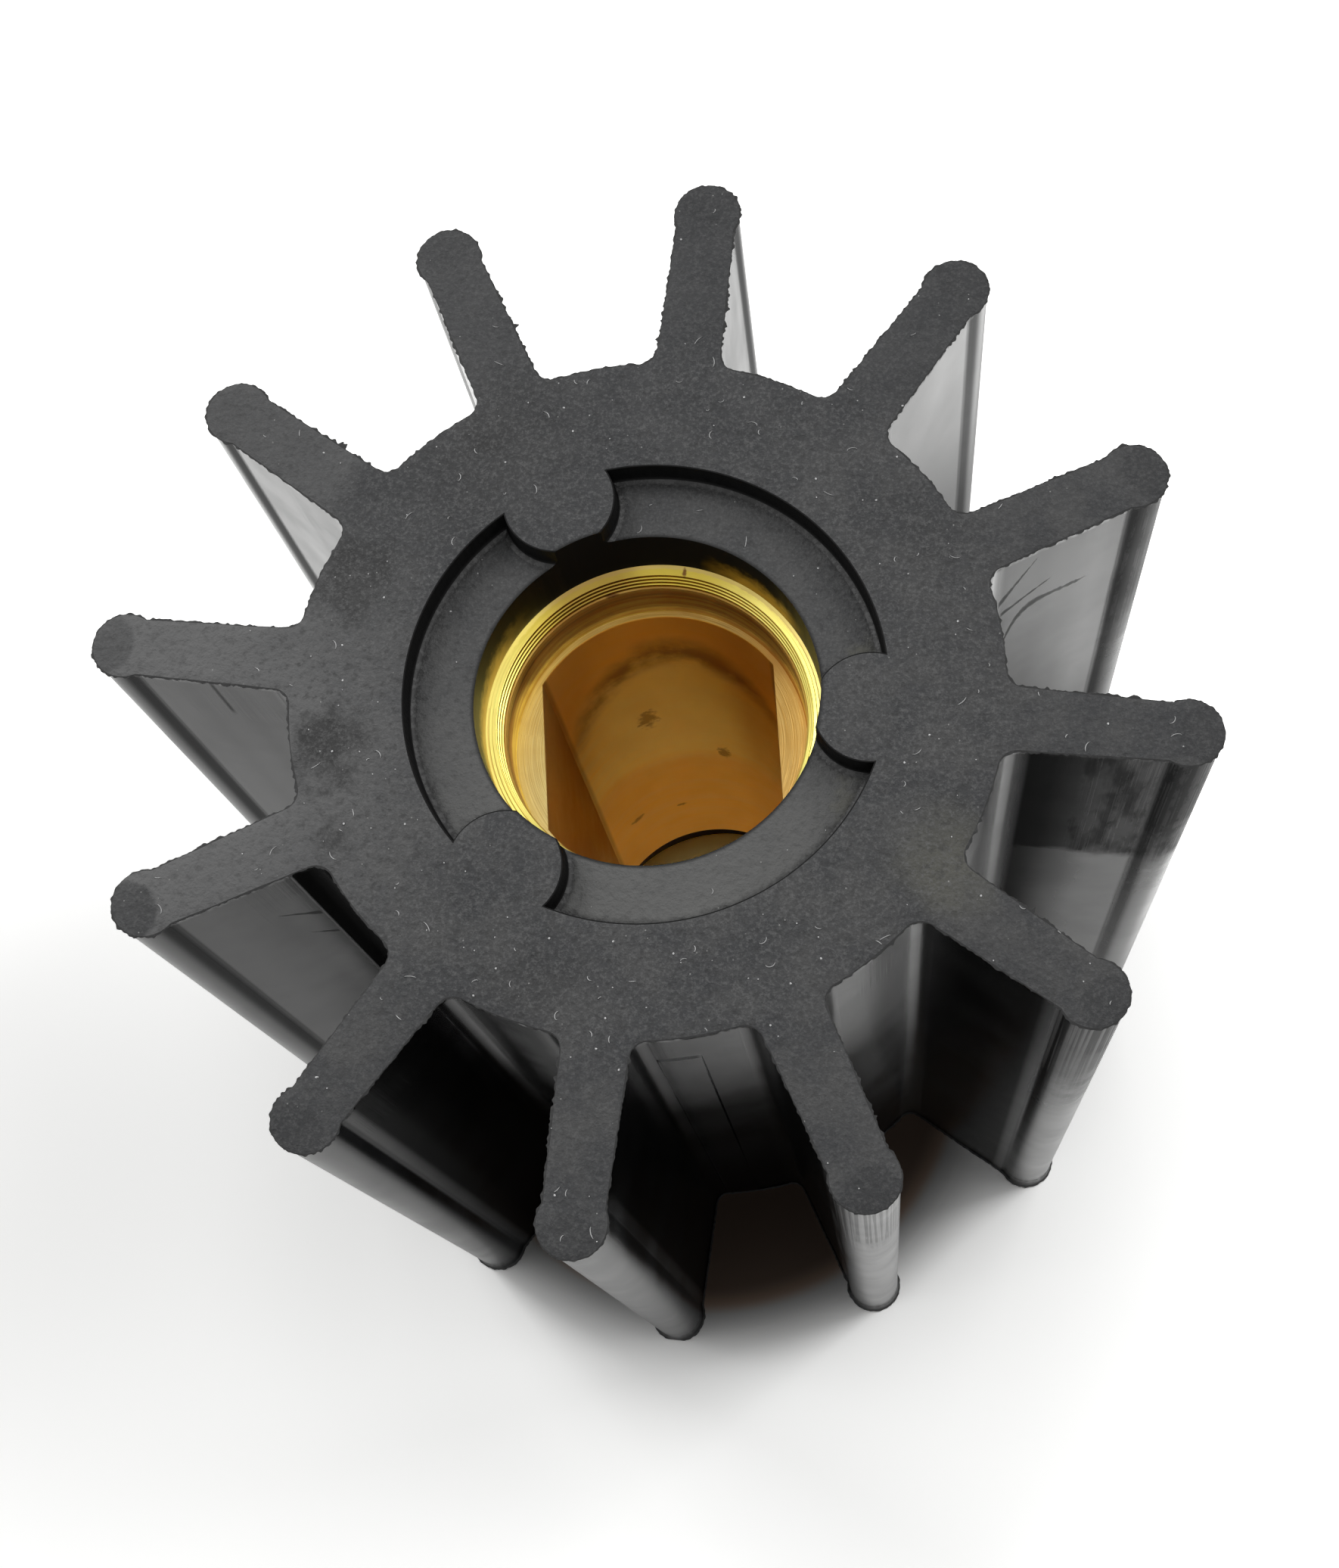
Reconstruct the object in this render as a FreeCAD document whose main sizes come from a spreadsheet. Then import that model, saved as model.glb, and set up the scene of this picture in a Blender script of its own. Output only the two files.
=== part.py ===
import FreeCAD, Part
import math
import os

import Sketcher

# Rubber pump impeller: a twelve-vane rubber moulding bonded round a turned brass hub insert.
# Origin at the centre of the bottom face, +Z up along the shaft axis, one vane along +X.

NODE_FOLDER = "parts"

DRIVING_SIZES = [
    ("tip_diameter", 95.2, "over the beads of two opposite vanes"),
    ("impeller_length", 84.8, "height of the moulding, hub and vanes alike"),
    ("hub_diameter", 60.0, "rubber hub between the vanes"),
    ("vane_count", 12, "vanes, evenly spaced"),
    ("vane_root_thickness", 5.9, "vane where it leaves the hub"),
    ("vane_neck_thickness", 5.2, "vane where it meets its bead"),
    ("bead_diameter", 5.9, "round bead along the outer edge of each vane"),
    ("root_fillet_radius", 1.5, "between vane flank and hub"),
    ("rubber_bore_diameter", 29.4, "bore of the moulding, which is the bond line of the insert"),
    ("recess_diameter", 40.0, "outer wall of the arc recesses in the upper end"),
    ("recess_depth", 2.3, "depth of the arc recesses"),
    ("recess_floor_radius", 0.3, "small radius where a recess floor meets its walls"),
    ("lobe_count", 3, "rounded lobes that part the recesses"),
    ("lobe_diameter", 9.7, "rounded end of a lobe"),
    ("lobe_pitch_diameter", 37.8, "circle through the lobe centres"),
    ("insert_inset", 7.8, "from the upper end of the moulding down to the insert"),
    ("insert_length", 68.5, "brass insert, end to end"),
    ("shaft_bore_diameter", 25.0, "round part of the double-flat bore"),
    ("shaft_flat_width", 20.9, "across the two flats of the bore"),
    ("shaft_flat_turn", 10.2, "degrees from +X to the normal of a flat"),
    ("counterbore_diameter", 26.4, "round mouth of the insert above the flats"),
    ("counterbore_depth", 6.2, "from the upper face of the insert to the shoulder"),
    ("mouth_bevel_width", 0.55, "radial width of the steep bevel at the mouth"),
    ("mouth_bevel_depth", 1.5, "depth of the same bevel"),
]

document = FreeCAD.newDocument("rubber_pump_impeller")

sheet = document.addObject("Spreadsheet::Sheet", "Sizes")
for row, (alias, value, meaning) in enumerate(DRIVING_SIZES, start=1):
    sheet.set("A%d" % row, alias)
    sheet.set("B%d" % row, str(value))
    sheet.set("C%d" % row, meaning)
    sheet.setAlias("B%d" % row, alias)
document.recompute()


def size(alias):
    """Value of one driving size, read back from the sheet."""
    return float(sheet.get(alias))


def add_body(label):
    body = document.addObject("PartDesign::Body", label)
    body.Label = label
    body.Placement = FreeCAD.Placement()
    return body


def origin_plane(body, role):
    for feature in body.Origin.OriginFeatures:
        if feature.Role == role:
            return feature
    raise RuntimeError("no origin feature " + role)


def add_sketch(body, name, role="XY_Plane", offset=None):
    """Sketch on an origin plane; offset is an expression for its height above that plane."""
    sketch = body.newObject("Sketcher::SketchObject", name)
    sketch.AttachmentSupport = [(origin_plane(body, role), "")]
    sketch.MapMode = "FlatFace"
    if offset is not None:
        sketch.setExpression("AttachmentOffset.Base.z", offset)
    return sketch


def bind(sketch, constraint, name, expression):
    """Add a dimension, name it and drive it from the sheet."""
    index = sketch.addConstraint(constraint)
    sketch.renameConstraint(index, name)
    sketch.setExpression("Constraints." + name, expression)


def add_circle(sketch, name, radius, expression):
    """Circle about the sketch origin with its radius driven by an expression."""
    centre = FreeCAD.Vector(0, 0, 0)
    circle = sketch.addGeometry(Part.Circle(centre, FreeCAD.Vector(0, 0, 1), radius), False)
    sketch.addConstraint(Sketcher.Constraint("Coincident", circle, 3, -1, 1))
    bind(sketch, Sketcher.Constraint("Radius", circle, radius), name, expression)
    return circle


def add_pad(body, name, sketch, length_expression):
    pad = body.newObject("PartDesign::Pad", name)
    pad.Profile = sketch
    pad.setExpression("Length", length_expression)
    return pad


def add_pocket(body, name, sketch, length_expression):
    """Cut downwards from the sketch plane."""
    pocket = body.newObject("PartDesign::Pocket", name)
    pocket.Profile = sketch
    pocket.setExpression("Length", length_expression)
    return pocket


def add_polar_pattern(body, name, originals, count_expression):
    """Full-circle pattern of features about the body's Z axis."""
    pattern = body.newObject("PartDesign::PolarPattern", name)
    pattern.Originals = originals
    pattern.Axis = (origin_plane(body, "Z_Axis"), [""])
    pattern.Angle = 360
    pattern.setExpression("Occurrences", count_expression)
    body.Tip = pattern
    return pattern


def edges_where(shape, test):
    """Names of the edges of a shape that pass a test."""
    return ["Edge%d" % (i + 1) for i, edge in enumerate(shape.Edges) if test(edge)]


def is_upright(edge):
    start = edge.Vertexes[0].Point
    end = edge.Vertexes[-1].Point
    return math.hypot(end.x - start.x, end.y - start.y) < 1e-6 and abs(end.z - start.z) > 1e-6


def draw_vane_section(sketch):
    """One vane along +X: flanks that thin towards the tip and end in a round bead."""
    hub_radius = size("hub_diameter") / 2
    bead_radius = size("bead_diameter") / 2
    bead_centre = size("tip_diameter") / 2 - bead_radius
    half_root = size("vane_root_thickness") / 2
    half_neck = size("vane_neck_thickness") / 2
    half_neck_angle = math.asin(half_neck / bead_radius)
    neck_x = bead_centre - bead_radius * math.cos(half_neck_angle)
    inner_x = math.sqrt(hub_radius ** 2 - half_root ** 2) - half_root

    def point(x, y):
        return FreeCAD.Vector(x, y, 0)

    inner = sketch.addGeometry(Part.LineSegment(point(inner_x, half_root), point(inner_x, -half_root)), False)
    lower = sketch.addGeometry(Part.LineSegment(point(inner_x, -half_root), point(neck_x, -half_neck)), False)
    circle = Part.Circle(point(bead_centre, 0), FreeCAD.Vector(0, 0, 1), bead_radius)
    start_angle = -(math.pi - half_neck_angle)
    end_angle = math.pi - half_neck_angle
    bead = sketch.addGeometry(Part.ArcOfCircle(circle, start_angle, end_angle), False)
    upper = sketch.addGeometry(Part.LineSegment(point(neck_x, half_neck), point(inner_x, half_root)), False)

    sketch.addConstraint(Sketcher.Constraint("Coincident", inner, 2, lower, 1))
    sketch.addConstraint(Sketcher.Constraint("Coincident", lower, 2, bead, 1))
    sketch.addConstraint(Sketcher.Constraint("Coincident", bead, 2, upper, 1))
    sketch.addConstraint(Sketcher.Constraint("Coincident", upper, 2, inner, 1))
    sketch.addConstraint(Sketcher.Constraint("PointOnObject", bead, 3, -1))
    sketch.addConstraint(Sketcher.Constraint("Symmetric", inner, 1, inner, 2, -1))
    sketch.addConstraint(Sketcher.Constraint("Vertical", bead, 1, bead, 2))
    bind(sketch, Sketcher.Constraint("Radius", bead, bead_radius), "bead_radius", "Sizes.bead_diameter / 2")
    bind(sketch, Sketcher.Constraint("DistanceX", -1, 1, bead, 3, bead_centre), "bead_centre",
         "(Sizes.tip_diameter - Sizes.bead_diameter) / 2")
    bind(sketch, Sketcher.Constraint("DistanceY", inner, 2, inner, 1, 2 * half_root), "root_thickness",
         "Sizes.vane_root_thickness")
    bind(sketch, Sketcher.Constraint("DistanceY", bead, 1, bead, 2, 2 * half_neck), "neck_thickness",
         "Sizes.vane_neck_thickness")
    bind(sketch, Sketcher.Constraint("DistanceX", -1, 1, inner, 1, inner_x), "inner_end",
         "sqrt((Sizes.hub_diameter / 2) ^ 2 - (Sizes.vane_root_thickness / 2) ^ 2)"
         " - Sizes.vane_root_thickness / 2")


def draw_lobe_section(sketch):
    """Round end of one lobe, centred on +X."""
    radius = size("lobe_diameter") / 2
    reach = size("lobe_pitch_diameter") / 2
    up = FreeCAD.Vector(0, 0, 1)
    circle = sketch.addGeometry(Part.Circle(FreeCAD.Vector(reach, 0, 0), up, radius), False)
    sketch.addConstraint(Sketcher.Constraint("PointOnObject", circle, 3, -1))
    bind(sketch, Sketcher.Constraint("Radius", circle, radius), "lobe_radius", "Sizes.lobe_diameter / 2")
    bind(sketch, Sketcher.Constraint("DistanceX", -1, 1, circle, 3, reach), "lobe_reach",
         "Sizes.lobe_pitch_diameter / 2")


def draw_double_flat_section(sketch):
    """Round bore with two parallel flats, turned about the axis."""
    radius = size("shaft_bore_diameter") / 2
    half_width = size("shaft_flat_width") / 2
    turn = math.radians(size("shaft_flat_turn"))
    half_flat = math.acos(half_width / radius)
    up = FreeCAD.Vector(0, 0, 1)
    circle = Part.Circle(FreeCAD.Vector(), up, radius)

    def point(angle):
        return FreeCAD.Vector(radius * math.cos(angle), radius * math.sin(angle), 0)

    first_arc = sketch.addGeometry(
        Part.ArcOfCircle(circle, turn + half_flat, turn + math.pi - half_flat), False)
    far_flat = sketch.addGeometry(
        Part.LineSegment(point(turn + math.pi - half_flat), point(turn + math.pi + half_flat)), False)
    second_arc = sketch.addGeometry(
        Part.ArcOfCircle(circle, turn + math.pi + half_flat, turn + 2 * math.pi - half_flat), False)
    near_flat = sketch.addGeometry(
        Part.LineSegment(point(turn - half_flat), point(turn + half_flat)), False)
    normal = sketch.addGeometry(
        Part.LineSegment(FreeCAD.Vector(), FreeCAD.Vector(half_width * math.cos(turn),
                                                         half_width * math.sin(turn), 0)), True)

    sketch.addConstraint(Sketcher.Constraint("Coincident", first_arc, 3, -1, 1))
    sketch.addConstraint(Sketcher.Constraint("Coincident", second_arc, 3, -1, 1))
    sketch.addConstraint(Sketcher.Constraint("Equal", first_arc, second_arc))
    sketch.addConstraint(Sketcher.Constraint("Coincident", first_arc, 2, far_flat, 1))
    sketch.addConstraint(Sketcher.Constraint("Coincident", far_flat, 2, second_arc, 1))
    sketch.addConstraint(Sketcher.Constraint("Coincident", second_arc, 2, near_flat, 1))
    sketch.addConstraint(Sketcher.Constraint("Coincident", near_flat, 2, first_arc, 1))
    sketch.addConstraint(Sketcher.Constraint("Coincident", normal, 1, -1, 1))
    sketch.addConstraint(Sketcher.Constraint("PointOnObject", normal, 2, near_flat))
    sketch.addConstraint(Sketcher.Constraint("Perpendicular", normal, near_flat))
    sketch.addConstraint(Sketcher.Constraint("Parallel", near_flat, far_flat))
    sketch.addConstraint(Sketcher.Constraint("Equal", near_flat, far_flat))
    bind(sketch, Sketcher.Constraint("Radius", first_arc, radius), "bore_radius",
         "Sizes.shaft_bore_diameter / 2")
    bind(sketch, Sketcher.Constraint("Distance", normal, 1, normal, 2, half_width), "half_width",
         "Sizes.shaft_flat_width / 2")
    bind(sketch, Sketcher.Constraint("Angle", -1, 1, normal, 1, turn), "flat_turn",
         "Sizes.shaft_flat_turn * 1 deg")


def build_rubber_impeller():
    """Hub and vanes in one moulding."""
    body = add_body("rubber_impeller")

    hub_sketch = add_sketch(body, "HubSection")
    add_circle(hub_sketch, "hub_radius", size("hub_diameter") / 2, "Sizes.hub_diameter / 2")
    add_pad(body, "Hub", hub_sketch, "Sizes.impeller_length")

    vane_sketch = add_sketch(body, "VaneSection")
    draw_vane_section(vane_sketch)
    vane = add_pad(body, "Vane", vane_sketch, "Sizes.impeller_length")
    vanes = add_polar_pattern(body, "Vanes", [vane], "Sizes.vane_count")
    document.recompute()

    # The root edges run up the hub where the vane flanks leave it.
    hub_radius = size("hub_diameter") / 2

    def is_root(edge):
        foot = edge.Vertexes[0].Point
        return is_upright(edge) and abs(math.hypot(foot.x, foot.y) - hub_radius) < 1e-3

    root_fillet = body.newObject("PartDesign::Fillet", "RootFillets")
    root_fillet.Base = (vanes, edges_where(vanes.Shape, is_root))
    root_fillet.setExpression("Radius", "Sizes.root_fillet_radius")
    body.Tip = root_fillet

    recess_sketch = add_sketch(body, "RecessSection", offset="Sizes.impeller_length")
    add_circle(recess_sketch, "recess_radius", size("recess_diameter") / 2, "Sizes.recess_diameter / 2")
    add_pocket(body, "Recess", recess_sketch, "Sizes.recess_depth")

    lobe_sketch = add_sketch(body, "LobeSection", offset="Sizes.impeller_length - Sizes.recess_depth")
    draw_lobe_section(lobe_sketch)
    lobe = add_pad(body, "Lobe", lobe_sketch, "Sizes.recess_depth")
    add_polar_pattern(body, "Lobes", [lobe], "Sizes.lobe_count")

    bore_sketch = add_sketch(body, "BoreSection", offset="Sizes.impeller_length")
    add_circle(bore_sketch, "bore_radius", size("rubber_bore_diameter") / 2, "Sizes.rubber_bore_diameter / 2")
    bore = add_pocket(body, "Bore", bore_sketch, "Sizes.impeller_length")
    body.Tip = bore
    document.recompute()

    # The floor edges lie level at the recess floor, along its walls but not along the open bore.
    floor_height = size("impeller_length") - size("recess_depth")
    bore_radius = size("rubber_bore_diameter") / 2

    def is_floor_corner(edge):
        middle = edge.valueAt((edge.FirstParameter + edge.LastParameter) / 2)
        level = all(abs(vertex.Point.z - floor_height) < 1e-4 for vertex in edge.Vertexes)
        return level and math.hypot(middle.x, middle.y) > bore_radius + 1e-3

    floor_fillet = body.newObject("PartDesign::Fillet", "RecessFloorFillets")
    floor_fillet.Base = (bore, edges_where(bore.Shape, is_floor_corner))
    floor_fillet.setExpression("Radius", "Sizes.recess_floor_radius")
    body.Tip = floor_fillet
    return body


def build_brass_insert():
    """Turned sleeve with a counterbored mouth above a double-flat shaft bore."""
    body = add_body("brass_insert")
    insert_top = "(Sizes.impeller_length - Sizes.insert_inset)"

    sleeve_sketch = add_sketch(body, "SleeveSection",
                               offset=insert_top + " - Sizes.insert_length")
    add_circle(sleeve_sketch, "bond_radius", size("rubber_bore_diameter") / 2, "Sizes.rubber_bore_diameter / 2")
    add_pad(body, "Sleeve", sleeve_sketch, "Sizes.insert_length")

    bore_sketch = add_sketch(body, "DoubleFlatSection", offset=insert_top)
    draw_double_flat_section(bore_sketch)
    add_pocket(body, "DoubleFlatBore", bore_sketch, "Sizes.insert_length")

    mouth_sketch = add_sketch(body, "MouthSection", offset=insert_top)
    add_circle(mouth_sketch, "mouth_radius", size("counterbore_diameter") / 2, "Sizes.counterbore_diameter / 2")
    mouth = add_pocket(body, "Counterbore", mouth_sketch, "Sizes.counterbore_depth")
    document.recompute()

    # The bevel is cut at the rim of the mouth, the inner edge of the upper face.
    top_height = size("impeller_length") - size("insert_inset")
    mouth_radius = size("counterbore_diameter") / 2

    def is_mouth_rim(edge):
        vertex = edge.Vertexes[0].Point
        on_face = abs(vertex.z - top_height) < 1e-4
        return on_face and abs(math.hypot(vertex.x, vertex.y) - mouth_radius) < 1e-3

    bevel = body.newObject("PartDesign::Chamfer", "MouthBevel")
    bevel.Base = (mouth, edges_where(mouth.Shape, is_mouth_rim))
    bevel.ChamferType = "Two distances"
    bevel.setExpression("Size", "Sizes.mouth_bevel_width")
    bevel.setExpression("Size2", "Sizes.mouth_bevel_depth")
    body.Tip = bevel
    return body


sub_parts = [build_rubber_impeller(), build_brass_insert()]
document.recompute()

for item in document.Objects:
    if "Invalid" in item.State or "Error" in item.State:
        raise RuntimeError("%s did not build: %s" % (item.Name, item.State))
for body in sub_parts:
    if body.Shape.isNull() or not body.Shape.isValid() or len(body.Shape.Solids) != 1:
        raise RuntimeError("%s is not one sound solid" % body.Label)

os.makedirs(NODE_FOLDER, exist_ok=True)
for body in sub_parts:
    body.Shape.exportStep(os.path.join(NODE_FOLDER, body.Label + ".step"))
    box = body.Shape.BoundBox
    print("%s: volume %.1f, x %.2f to %.2f, y %.2f to %.2f, z %.2f to %.2f, faces %d" % (
        body.Label, body.Shape.Volume, box.XMin, box.XMax, box.YMin, box.YMax, box.ZMin, box.ZMax,
        len(body.Shape.Faces)))
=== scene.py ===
"""The rubber moulding and the brass insert are each rebuilt as one detailed closed mesh in place of their solid.
Lengths are in millimetres unless a name says otherwise, angles in degrees, and MM turns a length into metres.
"""
import math
import random

import bmesh
import bpy
import numpy as np
from mathutils import Euler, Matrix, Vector, noise
from mathutils.geometry import delaunay_2d_cdt


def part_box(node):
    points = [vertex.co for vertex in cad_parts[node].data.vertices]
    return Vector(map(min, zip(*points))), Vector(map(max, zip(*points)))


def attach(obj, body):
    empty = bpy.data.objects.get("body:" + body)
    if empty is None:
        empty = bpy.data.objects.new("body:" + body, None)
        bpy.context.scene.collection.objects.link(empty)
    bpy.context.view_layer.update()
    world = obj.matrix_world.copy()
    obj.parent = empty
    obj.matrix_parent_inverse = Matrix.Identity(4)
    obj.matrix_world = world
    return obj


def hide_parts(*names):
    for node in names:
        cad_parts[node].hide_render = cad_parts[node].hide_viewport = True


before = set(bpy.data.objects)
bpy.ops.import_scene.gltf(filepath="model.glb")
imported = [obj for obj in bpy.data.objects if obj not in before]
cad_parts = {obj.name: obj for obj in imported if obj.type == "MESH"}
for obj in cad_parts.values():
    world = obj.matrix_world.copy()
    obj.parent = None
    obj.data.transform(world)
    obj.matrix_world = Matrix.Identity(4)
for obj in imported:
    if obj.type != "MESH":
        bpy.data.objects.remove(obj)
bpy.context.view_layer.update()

MM = 0.001
rubber_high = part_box("rubber_impeller")[1]
brass_low, brass_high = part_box("brass_insert")

# Main sizes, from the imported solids.
TIP_RADIUS = rubber_high.x / MM
LENGTH = rubber_high.z / MM
SLEEVE_RADIUS = brass_high.x / MM
BRASS_TOP = brass_high.z / MM
BRASS_BOTTOM = brass_low.z / MM

# Rubber moulding.
VANES = 12
PITCH = 360 / VANES
HUB_RADIUS = 30.0
BEAD_RADIUS = 2.95
BEAD_CENTRE = TIP_RADIUS - BEAD_RADIUS
HALF_ROOT = 2.95
HALF_NECK = 2.6
ROOT_FILLET = 1.5
RECESS_RADIUS = 20.2
RECESS_FLOOR = LENGTH - 2.3
RECESS_FILLET = 0.6
LOBES = 3
LOBE_RADIUS = 4.85
LOBE_CENTRE = 18.9

# The end face lies a little below the top of the solid, so that the lint on it stays inside the box.
# Round it and its recesses runs a narrow worn edge.
LINT_ROOM = 0.09
FACE_Z = LENGTH - LINT_ROOM
EDGE = 0.14

# Brass insert.
ROUND_BORE = 12.5
HALF_FLATS = 10.45
FLATS_TURN = 10.2
COUNTERBORE = 13.2
SHOULDER_Z = 70.8
BEVEL_RADIUS = 13.75
BEVEL_Z = BRASS_TOP - 1.5
BEVEL_STEPS = 4
GROOVES = 3
GROOVE_DEPTH = 0.1
WALL_STEP_Z = 73.7

# Where the root fillet starts along a vane, and where it ends across it.
FILLET_START = 31.2
FILLET_END = 4.2

# For each stretch of the outline: how far the walls stay inside it, how ragged the flash round it is, and the
# distance between its points.
INSET = {"bead": 0.2, "flank": 0.1, "fillet": 0.05, "hub": 0.05}
RAGGED = {"bead": 0.15, "flank": 0.3, "fillet": 0.14, "hub": 0.2}
STEP = {"bead": 0.15, "flank": 0.14, "fillet": 0.16, "hub": 0.24}
FLASH_HEIGHT = 0.14

# The mould's insert left a pad on the hub wall between two vanes: from one root to the middle of the gap.
# Two close points before the middle of each gap keep its edge crisp.
PAD_VANE = 9
PAD_TOP = 77.5
PAD_HEIGHT = 0.14
PAD_EDGE_TURNS = (0.9, 0.3)

# Heights of the rings of points on the vane walls, in the rubber's bore and in the bore of the insert.
WALL_LEVELS = (FACE_Z - 0.3, FACE_Z - 0.8, FACE_Z - 5, PAD_TOP, PAD_TOP - 0.15, 60, 36, 13, 6, 2.4, 1.1)
BORE_LEVELS = (RECESS_FLOOR - 0.5, 81.0, 79.6, 78.2, BRASS_TOP)
THROAT_LEVELS = (SHOULDER_Z - 0.08, 69, 66, 62, 57, 50, 42, 34, 26, 18, 12, BRASS_BOTTOM + 0.4)

# Points in each line of a recess: lobe side, round wall, lobe edge, floor edge and fillet.
SIDE_POINTS, ROUND_POINTS, LOBE_POINTS, FLOOR_POINTS, FILLET_POINTS = 30, 110, 18, 96, 5

# Seeds of the noise in the outline.
PATCHY_SEED, TOP_SEED, FOOT_SEED, WANDER_SEED = 5.0, 11.0, 31.0, 50.0

# Spacing of the points inside the flat faces, and of those round the bore of the insert in degrees.
FLOOR_SPACING = 1.1
FACE_SPACING = 1.3
FOOT_SPACING = 1.6
BORE_STEP = 1.2

# Lint: places tried, pieces kept, and their lengths. Short ones are crumbs and long ones curled fibres.
LINT_TRIES = 1500
LINT_COUNT = 230
LINT_LENGTHS = (0.09, 0.12, 0.12, 0.18, 0.35, 0.6, 1.0)
FIBRE_LENGTH = 0.3
FIBRE_HALF_WIDTH = 0.032


def polar(radius, degrees):
    """Points at these radii and angles, one row each."""
    turn = np.radians(degrees)
    return np.stack([radius * np.cos(turn), radius * np.sin(turn)], -1)


def turned(points, degrees):
    """Points in the plane, turned round the axis."""
    turn = math.radians(degrees)
    matrix = np.array([[math.cos(turn), math.sin(turn)], [-math.sin(turn), math.cos(turn)]])
    return points @ matrix


def ripple(points, size, seed):
    """Smooth noise at each point, about -1 to 1, with bumps some `size` mm wide."""
    return np.array([1.7 * noise.noise(Vector((*(p / size), seed))) for p in points])


def run(start, stop, length, step):
    """Even samples from start to stop, with the last one left out."""
    count = max(2, round(length / step))
    return start + (stop - start) * np.arange(count) / count


def half_vane():
    """Half a vane on +X, from its tip to the middle of the next gap, with the name of each stretch."""
    neck_turn = 180 - math.degrees(math.asin(HALF_NECK / BEAD_RADIUS))
    bead_length = math.radians(neck_turn) * BEAD_RADIUS
    bead = polar(BEAD_RADIUS, run(0, neck_turn, bead_length, STEP["bead"])) + [BEAD_CENTRE, 0]
    neck = polar(BEAD_RADIUS, neck_turn) + [BEAD_CENTRE, 0]
    root = np.array([math.sqrt(HUB_RADIUS ** 2 - HALF_ROOT ** 2) - HALF_ROOT, HALF_ROOT])

    # The root fillet touches the flank and the hub, so its centre lies one fillet radius off both.
    along = (neck - root) / np.linalg.norm(neck - root)
    out = np.array([-along[1], along[0]])
    foot = root + ROOT_FILLET * out
    reach = math.sqrt((HUB_RADIUS + ROOT_FILLET) ** 2 - np.dot(foot, out) ** 2)
    centre = np.dot(foot, out) * out + reach * along
    flank_end = centre - ROOT_FILLET * out
    flank_length = np.linalg.norm(flank_end - neck)
    flank = neck + (flank_end - neck) * run(0, 1, flank_length, STEP["flank"])[:, None]
    centre_turn = math.degrees(math.atan2(centre[1], centre[0]))
    start = math.degrees(math.atan2(-out[1], -out[0]))
    stop = centre_turn - 180
    fillet_length = math.radians(abs(stop - start)) * ROOT_FILLET
    fillet = polar(ROOT_FILLET, run(start, stop, fillet_length, STEP["fillet"])) + centre

    hub_length = math.radians(PITCH / 2 - centre_turn) * HUB_RADIUS
    hub_turns = run(centre_turn, PITCH / 2, hub_length, STEP["hub"])[:-1]
    hub = polar(HUB_RADIUS, np.append(hub_turns, PITCH / 2 - np.array(PAD_EDGE_TURNS)))
    names = ["bead"] * len(bead) + ["flank"] * len(flank) + ["fillet"] * len(fillet) + ["hub"] * len(hub)
    return np.concatenate([bead, flank, fillet, hub]), names


def vane_ring():
    """The whole outline, anticlockwise, as points, stretch names and vane numbers."""
    half, names = half_vane()
    mirrored = half[:0:-1] * [1, -1]
    middle = polar(HUB_RADIUS, -PITCH / 2)[None]
    one = np.concatenate([middle, mirrored, half])
    one_names = ["hub"] + names[:0:-1] + names
    ring = np.concatenate([turned(one, k * PITCH) for k in range(VANES)])
    return ring, one_names * VANES, np.repeat(np.arange(VANES), len(one))


def outward(ring):
    """Unit normals of a closed anticlockwise line."""
    ahead = np.roll(ring, -1, 0) - np.roll(ring, 1, 0)
    normal = np.stack([ahead[:, 1], -ahead[:, 0]], -1)
    return normal / np.linalg.norm(normal, axis=1, keepdims=True)


def softened(values, width):
    """A closed row of values, averaged over neighbours."""
    kernel = np.hanning(2 * width + 3)[1:-1]
    padded = np.concatenate([values[-width:], values, values[:width]])
    return np.convolve(padded, kernel / kernel.sum(), "valid")


def placed(name, data):
    """A new object in the scene."""
    piece = bpy.data.objects.new(name, data)
    bpy.context.scene.collection.objects.link(piece)
    return piece


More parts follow.
